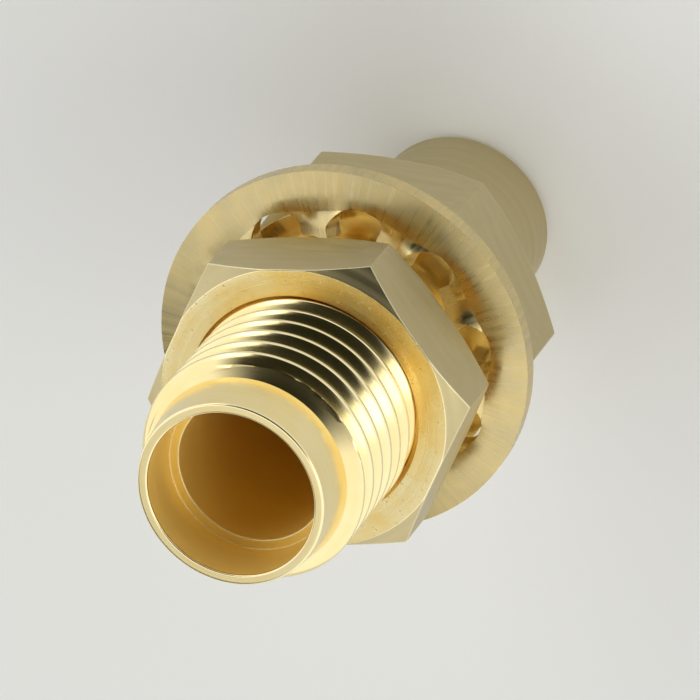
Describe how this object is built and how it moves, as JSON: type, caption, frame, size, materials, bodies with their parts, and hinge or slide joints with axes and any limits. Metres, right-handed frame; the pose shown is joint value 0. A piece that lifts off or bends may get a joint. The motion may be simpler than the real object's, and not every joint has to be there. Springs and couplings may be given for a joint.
{
  "type": "threaded coaxial bulkhead jack",
  "caption": "Gold-plated coaxial bulkhead jack for a cable: threaded body with a hexagon flange and plain rear barrel, hexagon nut and internal-tooth lock washer.",
  "frame": {"origin": "centre of the rear barrel's end, in the mouth of the cable bore, on the surface that the part stands on", "axes": "+Z along the connector's axis, from the cable end to the mating end; +X towards a corner of the hexagon flange"},
  "size_m": [0.0105, 0.0105, 0.0187],
  "materials": {
    "gold_body": "gold plated over turned brass, bright with fine turning marks",
    "gold_nut": "gold plated over milled and turned brass, satin flats and a finely pitted face",
    "gold_washer": "gold plated over stamped and brushed bronze sheet"
  },
  "bodies": {
    "connector": {"connector_body": "gold_body"},
    "washer": {"lock_washer": "gold_washer"},
    "nut": {"hex_nut": "gold_nut"}
  },
  "joints": [
    {"name": "nut_travel", "type": "slide", "parent": "connector", "child": "washer", "axis": [0, 0, 1], "range_m": [0, 0.00565]},
    {"name": "nut_turn", "type": "hinge", "parent": "washer", "child": "nut", "pos_m": [0, 0, 0.01201], "axis": [0, 0, 1], "range_deg": [0, 2885]}
  ],
  "couplings": [
    {"joint": "nut_turn", "follows": "nut_travel", "rad_per_m": 8904.7}
  ]
}
